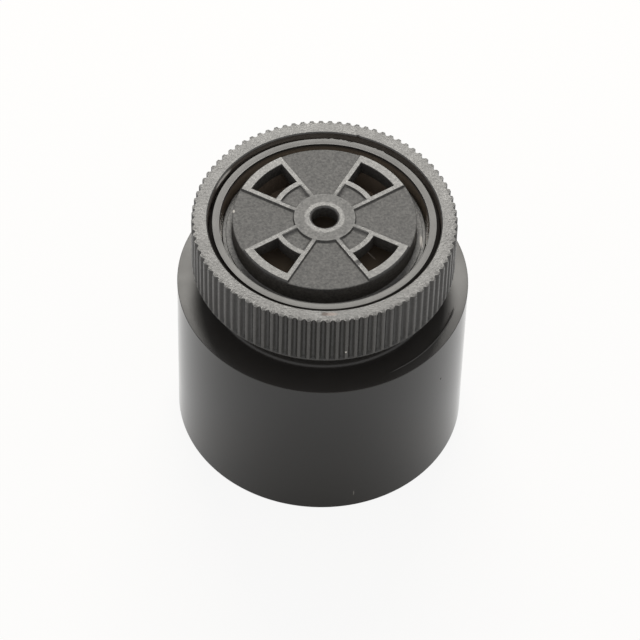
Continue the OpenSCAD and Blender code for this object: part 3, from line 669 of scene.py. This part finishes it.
def satin_charcoal_nylon():
    """Filled nylon from a fine-blasted tool: charcoal and satin, with a tooth that breaks up highlights.

    The flutes are duller than the handled crests and darker with painted shade, and the bore is
    dull with dust, whose lighter brown is partly painted light that lifts the shaded gap. On top
    is a brown stain with a crust, in a flute a speck, and one stretch of the thread has a painted
    highlight.
    """
    material, coords = new_material("satin_charcoal_nylon")
    height, reach = height_and_reach(material, coords)
    grain = add(material, NOISE, Vector=coords, Scale=1 / NYLON_GRAIN, **FINE_DETAIL)
    clouds = add(material, NOISE, Vector=coords, Scale=1 / NYLON_CLOUDS, **FINE_DETAIL)

    below = add(material, RANGE, Value=height, From_Min=RING_TOP_Z - 0.1 * MM,
                From_Max=RING_TOP_Z - 0.3 * MM)
    inner = add(material, RANGE, Value=reach, From_Min=BORE_R + 1.5 * THREAD_DEPTH,
                From_Max=BORE_R + 1.2 * THREAD_DEPTH)
    hollow = add(material, RANGE, Value=reach, From_Min=RING_R - 0.1 * FLUTE_DEPTH,
                 From_Max=RING_R - 0.7 * FLUTE_DEPTH)
    # Dust and painted light: the bore's lighter brown is dust and partly painted light that lifts the shaded
    # gap
    bore_dust_and_painted_light = add(material, MATH, PRODUCT, i0=inner, i1=below)
    # Painted shade: this mask paints the hollows of the flutes darker, and also makes them duller
    flute_shade_and_dull = add(material, MATH, PRODUCT, i0=hollow, i1=below)
    stain = mark_share(material, coords, at(14.85 * MM, -89.8, RING_TOP_Z), (1.0, 0.32, 0.1))
    crust = mark_share(material, coords, at(14.83 * MM, -92.6, RING_TOP_Z), (0.5, 0.34, 0.1))
    speck = mark_share(material, coords, at(RING_R, -83.1, SHOULDER_Z + 5.4 * MM), (0.14, 0.4, 0.2))
    # Painted highlight: a pale stretch on the bore's thread stands for a glint
    thread = mark_share(material, coords, at(BORE_R, 148.5, SHOULDER_Z + 10.5 * MM), (0.3, 2.3, 0.2), 148.5)

    colour = add(material, MIX, COLOURS, i0=grain, i6=linear("#2a2927"), i7=linear("#484644"))
    for share, paint in ((flute_shade_and_dull, "#2b2a28"), (bore_dust_and_painted_light, "#544c44"), (stain, "#5f4a3f"), (crust, "#4a3a31"),
                         (speck, "#d8d6d0"), (thread, "#f0ebe2")):
        colour = add(material, MIX, COLOURS, i0=share, i6=colour, i7=linear(paint))

    dull = add(material, RANGE, Value=flute_shade_and_dull, To_Max=FLUTE_DULL)
    for share, limit in ((bore_dust_and_painted_light, BORE_DULL), (crust, CRUST_DULL)):
        duller = add(material, RANGE, Value=share, To_Max=limit)
        dull = add(material, MATH, LARGER, i0=dull, i1=duller)
    cloudy = add(material, RANGE, Value=clouds, **NOISE_SPAN, To_Min=RING_SATIN[0], To_Max=RING_SATIN[1])
    speckle = add(material, RANGE, Value=grain, **NOISE_SPAN, To_Min=RING_SPECKLE, To_Max=-RING_SPECKLE)
    roughness = add(material, MATH, SUM, i0=cloudy, i1=dull)
    roughness = add(material, MATH, SUM, i0=roughness, i1=speckle)
    return plastic_surface(material, colour, roughness, NYLON_IOR, (0.7, RING_TOOTH, grain))


def textured_charcoal_nylon():
    """The same nylon on the cap: the recessed fields were spark-eroded and look matt and speckled.

    The hub is finer, and the ribs, the flange and the sound hole's lip are smooth. The edge carries a
    pale speck and the flange a painted highlight, and dust lies inside, whose light brown is partly
    painted light that lifts the shade there.
    """
    material, coords = new_material("textured_charcoal_nylon")
    height, reach = height_and_reach(material, coords)
    noise = add(material, NOISE, Vector=coords, Scale=1 / NYLON_GRAIN, **FINE_DETAIL)
    grain = add(material, RANGE, Value=noise, **NOISE_SPAN)

    raised = add(material, RANGE, Value=height, From_Min=FIELD_Z + 0.2 * RIB_H,
                 From_Max=FIELD_Z + 0.8 * RIB_H)
    arm = add(material, RANGE, Value=reach, From_Min=HUB_R - 0.4 * MM, From_Max=HUB_R + 1.2 * MM)
    lip = add(material, RANGE, Value=reach, From_Min=HOLE_R + 0.9 * MM, From_Max=HOLE_R + 0.75 * MM)
    arm_or_lip = add(material, MATH, LARGER, i0=arm, i1=lip)
    rubbed = add(material, MATH, PRODUCT, i0=raised, i1=arm_or_lip)
    flange = add(material, RANGE, Value=height, From_Min=FIELD_Z - 0.5 * MM, From_Max=FIELD_Z - 1.0 * MM)
    rubbed_or_flange = add(material, MATH, LARGER, i0=rubbed, i1=flange)
    inner = add(material, RANGE, Value=reach, From_Min=SKIRT_IN_R + 0.4 * MM, From_Max=SKIRT_IN_R + 0.2 * MM)
    under_roof = add(material, RANGE, Value=height, From_Min=CAP_ROOF_Z, From_Max=CAP_ROOF_Z - 0.2 * MM)
    # Dust and painted light: the cap's inside gets a light brown, partly dust and partly painted light that
    # lifts its shade
    dust_and_painted_light = add(material, MATH, PRODUCT, i0=inner, i1=under_roof)
    edge_speck = mark_share(material, coords, at(11.1 * MM, 172.3, FIELD_Z), (0.2, 0.3, 0.2))
    # Painted highlight: a pale streak on the flange stands for a glint; the edge's speck is a pale mark
    flange_glint = mark_share(material, coords, at(11.9 * MM, -9.0, FLANGE_TOP_Z), (0.25, 1.2, 0.2))
    speck_and_glint = add(material, MATH, LARGER, i0=edge_speck, i1=flange_glint)

    colour = add(material, MIX, COLOURS, i0=grain, i6=linear("#262524"), i7=linear("#4a4845"))
    for share, paint in ((dust_and_painted_light, "#7d7064"), (speck_and_glint, "#b5b1aa")):
        colour = add(material, MIX, COLOURS, i0=share, i6=colour, i7=linear(paint))

    level = add(material, RANGE, Value=raised, To_Min=FIELD_MATT, To_Max=RIB_SATIN)
    smoother = add(material, RANGE, Value=rubbed_or_flange, To_Max=RIB_SMOOTHER)
    speckle = add(material, RANGE, Value=grain, To_Min=CAP_SPECKLE, To_Max=-CAP_SPECKLE)
    roughness = add(material, MATH, DIFFERENCE, i0=level, i1=smoother)
    roughness = add(material, MATH, SUM, i0=roughness, i1=speckle)
    tooth = add(material, RANGE, Value=raised, To_Min=0.9, To_Max=0.5)
    return plastic_surface(material, colour, roughness, NYLON_IOR, (tooth, CAP_TOOTH, grain))


def moulded_plastic(name, hex_dark, hex_light, roughness, grain_mm):
    """Moulded, dipped or fired small part: even colour with a grain in colour, gloss and surface.

    The real grain is too fine to show, so it is drawn as coarse as the given width.
    """
    material, coords = new_material(name)
    grain = add(material, NOISE, Vector=coords, Scale=1 / (grain_mm * MM), **FINE_DETAIL)
    colour = add(material, MIX, COLOURS, i0=grain, i6=linear(hex_dark), i7=linear(hex_light))
    uneven = add(material, RANGE, Value=grain, **NOISE_SPAN, To_Min=roughness - PLASTIC_UNEVEN,
                 To_Max=roughness + PLASTIC_UNEVEN)
    return plastic_surface(material, colour, uneven, SMALL_PART_IOR, (0.25, 0.02 * MM, grain))


def rolled_metal(name, hex_colour, roughness, streak_mm):
    """Rolled, drawn or plated metal: vertical streaks in its gloss and surface.

    The real streaks are too fine to show, so they are drawn as coarse as the given width.
    """
    material, coords = new_material(name)
    stretched = add(material, "ShaderNodeMapping", Vector=coords, Scale=STREAK_SCALE)
    streaks = add(material, NOISE, Vector=stretched, Scale=1 / (streak_mm * MM), **FINE_DETAIL)
    uneven = add(material, RANGE, Value=streaks, **NOISE_SPAN, To_Min=roughness - METAL_UNEVEN,
                 To_Max=roughness + METAL_UNEVEN)
    bump = add(material, "ShaderNodeBump", Strength=0.15, Distance=0.01 * MM, Height=streaks)
    shader = add(material, "ShaderNodeBsdfPrincipled", Base_Color=linear(hex_colour), Metallic=1.0,
                 Roughness=uneven, Normal=bump)
    add(material, "ShaderNodeOutputMaterial", Surface=shader)
    return material


# Small parts give a name, a darker and a lighter colour, a roughness and a grain in millimetres;
# metals a name, a colour, a roughness and a streak's width in millimetres
FINISHES = {
    "housing_black": glossy_black_abs(),
    "ring_charcoal": satin_charcoal_nylon(),
    "cap_charcoal": textured_charcoal_nylon(),
    "cover_black": moulded_plastic("satin_black_abs", "#262524", "#302e2d", 0.4, 0.25),
    "brass_sheet": rolled_metal("rolled_brass", "#c9a25a", 0.3, 0.4),
    "silvered_ceramic": moulded_plastic("fired_silver_on_ceramic", "#cfcdc4", "#dad8cf", 0.45, 0.3),
    "silicone": moulded_plastic("cured_silicone", "#dcdcd8", "#e6e6e2", 0.5, 0.4),
    "lead_red": moulded_plastic("red_wire_insulation", "#a32a22", "#b3322b", 0.4, 0.3),
    "lead_black": moulded_plastic("black_wire_insulation", "#242424", "#2d2d2d", 0.4, 0.3),
    "lead_blue": moulded_plastic("blue_wire_insulation", "#28548f", "#2f5fa8", 0.4, 0.3),
    "board_laminate": moulded_plastic("solder_masked_glass_laminate", "#28602f", "#2f6b38", 0.3, 0.6),
    "ferrite": moulded_plastic("sintered_ferrite", "#343436", "#3e3e41", 0.55, 0.2),
    "enamelled_copper": rolled_metal("enamelled_copper_wire", "#b5713a", 0.3, 0.3),
    "can_sleeve": moulded_plastic("shrunk_sleeve", "#333850", "#3b4058", 0.3, 0.5),
    "package_black": moulded_plastic("moulded_epoxy", "#262626", "#2f2f2f", 0.55, 0.2),
    "chip_ceramic": moulded_plastic("fired_chip_ceramic", "#9a8460", "#b09871", 0.5, 0.3),
    "solder": rolled_metal("tin_solder", "#c4c6ca", 0.32, 0.5),
    "tinned_brass": rolled_metal("tin_plated_brass", "#cfccc4", 0.28, 0.35),
}


# Pieces

def show(piece, node, body, slot):
    """The piece rides on its body, stands for its node and takes the slot's finish."""
    piece.data.materials.append(FINISHES[slot])
    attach(piece, body)
    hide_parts(node)


show(build_housing(), "housing", "alarm", "housing_black")
show(build_lock_ring(), "lock_ring", "ring", "ring_charcoal")
show(build_grille_cap(), "grille_cap", "alarm", "cap_charcoal")

for subpart in frame["record"]["subparts"]:
    solid = frame["nodes"][subpart["node"]]
    if not solid.hide_render:
        solid.data.materials.clear()
        solid.data.materials.append(FINISHES[subpart["material_slot"]])


# Floor, light and camera

FLOOR_HALF = 1.5
FLOOR_WHITE_SHARE = 0.9

# Shade on the floor where the alarm keeps the lamp's light away, as the alarm mirrors it
SHADE_R = 0.7 * BODY_R
SHADE_DEGREES = -92.0
SHADE_W = 18 * MM
SHADE_MIRRORED_SHARE = 0.35

# Level of the room's light beside white, and the lamp's slightly warm linear colour
ROOM_LEVEL = 0.55
LAMP_TINT = (1.0, 0.972, 0.91)


def seen_directly(owner, mirrored_share=1.0):
    """1 for rays from the eye, a share for mirrored or refracted ones, 0 for light that spreads."""
    rays = add(owner, "ShaderNodeLightPath").outputs
    clear = add(owner, MATH, LARGER, i0=rays["Is Glossy Ray"], i1=rays["Is Transmission Ray"])
    dimmed = add(owner, MATH, PRODUCT, i0=clear, i1=mirrored_share)
    return add(owner, MATH, LARGER, i0=rays["Is Camera Ray"], i1=dimmed)


def build_floor():
    """Seamless pale sheet that the alarm stands on; seen directly it is nearly white, and mirrored in
    the alarm it shows more of the soft shade at the foot, on the side away from the lamp."""
    corners = FLOOR_HALF * np.array([(-1, -1, 0), (1, -1, 0), (1, 1, 0), (-1, 1, 0)])
    floor = mesh_object("floor", corners, np.array([[0, 1, 2, 3]]), sharp_angle=math.radians(30))
    material, coords = new_material("pale_sheet")
    sheet = add(material, "ShaderNodeBsdfDiffuse", Color=linear("#f3ece0"))
    white = add(material, "ShaderNodeEmission", Color=linear("#ffffff"), Strength=1.0)
    away = add(material, VECTOR_MATH, {"operation": "DISTANCE"}, i0=coords,
               i1=at(SHADE_R, SHADE_DEGREES, 0.0))
    foot = BODY_R - SHADE_R
    mirrored = add(material, RANGE, Value=away, From_Min=foot, From_Max=foot + SHADE_W,
                   To_Min=SHADE_MIRRORED_SHARE)
    share = add(material, MATH, PRODUCT, i0=seen_directly(material, mirrored), i1=FLOOR_WHITE_SHARE)
    mix = add(material, "ShaderNodeMixShader", i0=share, i1=sheet, i2=white)
    add(material, "ShaderNodeOutputMaterial", Surface=mix)
    floor.data.materials.append(material)


def build_room():
    """Dim pale room, white where it is seen directly."""
    room = bpy.data.worlds.new("pale_room")
    bpy.context.scene.world = room
    room.use_nodes = True
    room.node_tree.nodes.clear()
    level = add(room, RANGE, Value=seen_directly(room), To_Min=ROOM_LEVEL)
    light = add(room, "ShaderNodeBackground", Color=linear("#ffffff"), Strength=level)
    add(room, "ShaderNodeOutputWorld", Surface=light)


def add_softbox(name, azimuth_degrees, elevation_degrees, distance, width, depth, brightness):
    """A rectangular lamp that faces the alarm; brightness 1 is as bright as white paper."""
    data = bpy.data.lights.new(name, "AREA")
    data.shape = "RECTANGLE"
    data.size = width
    data.size_y = depth
    data.energy = brightness * math.pi * width * depth
    data.color = LAMP_TINT
    lamp = bpy.data.objects.new(name, data)
    bpy.context.scene.collection.objects.link(lamp)
    elevation = math.radians(elevation_degrees)
    towards = Vector(at(math.cos(elevation), azimuth_degrees, math.sin(elevation)))
    lamp.location = towards * distance + Vector((0, 0, RIM_Z))
    lamp.rotation_euler = (-towards).to_track_quat("-Z", "Y").to_euler()
    lamp.visible_camera = False


def build_camera():
    """Camera at the viewing angle of the reference picture, aimed at the alarm's axis."""
    elevation = math.radians(50.77)
    turn = math.radians(-3.9)
    roll = math.radians(1.71)
    distance = 0.4752
    aim = Vector((-0.00019, 0, 0.01518))
    back = Vector((0, -math.cos(elevation), math.sin(elevation)))
    data = bpy.data.cameras.new("camera")
    data.lens = 213.17
    data.sensor_width = 36
    data.clip_start = 0.01
    camera = bpy.data.objects.new("camera", data)
    bpy.context.scene.collection.objects.link(camera)
    look = (-back).to_track_quat("-Z", "Y").to_matrix().to_4x4()
    camera.matrix_world = (Matrix.Rotation(turn, 4, "Z") @ Matrix.Translation(aim + back * distance) @ look
                           @ Matrix.Rotation(roll, 4, "Z"))
    bpy.context.scene.camera = camera


build_floor()
build_room()
add_softbox("back_softbox", azimuth_degrees=88, elevation_degrees=46, distance=0.35, width=0.21, depth=0.07,
            brightness=18)
build_camera()
bpy.context.scene.view_settings.view_transform = "Standard"
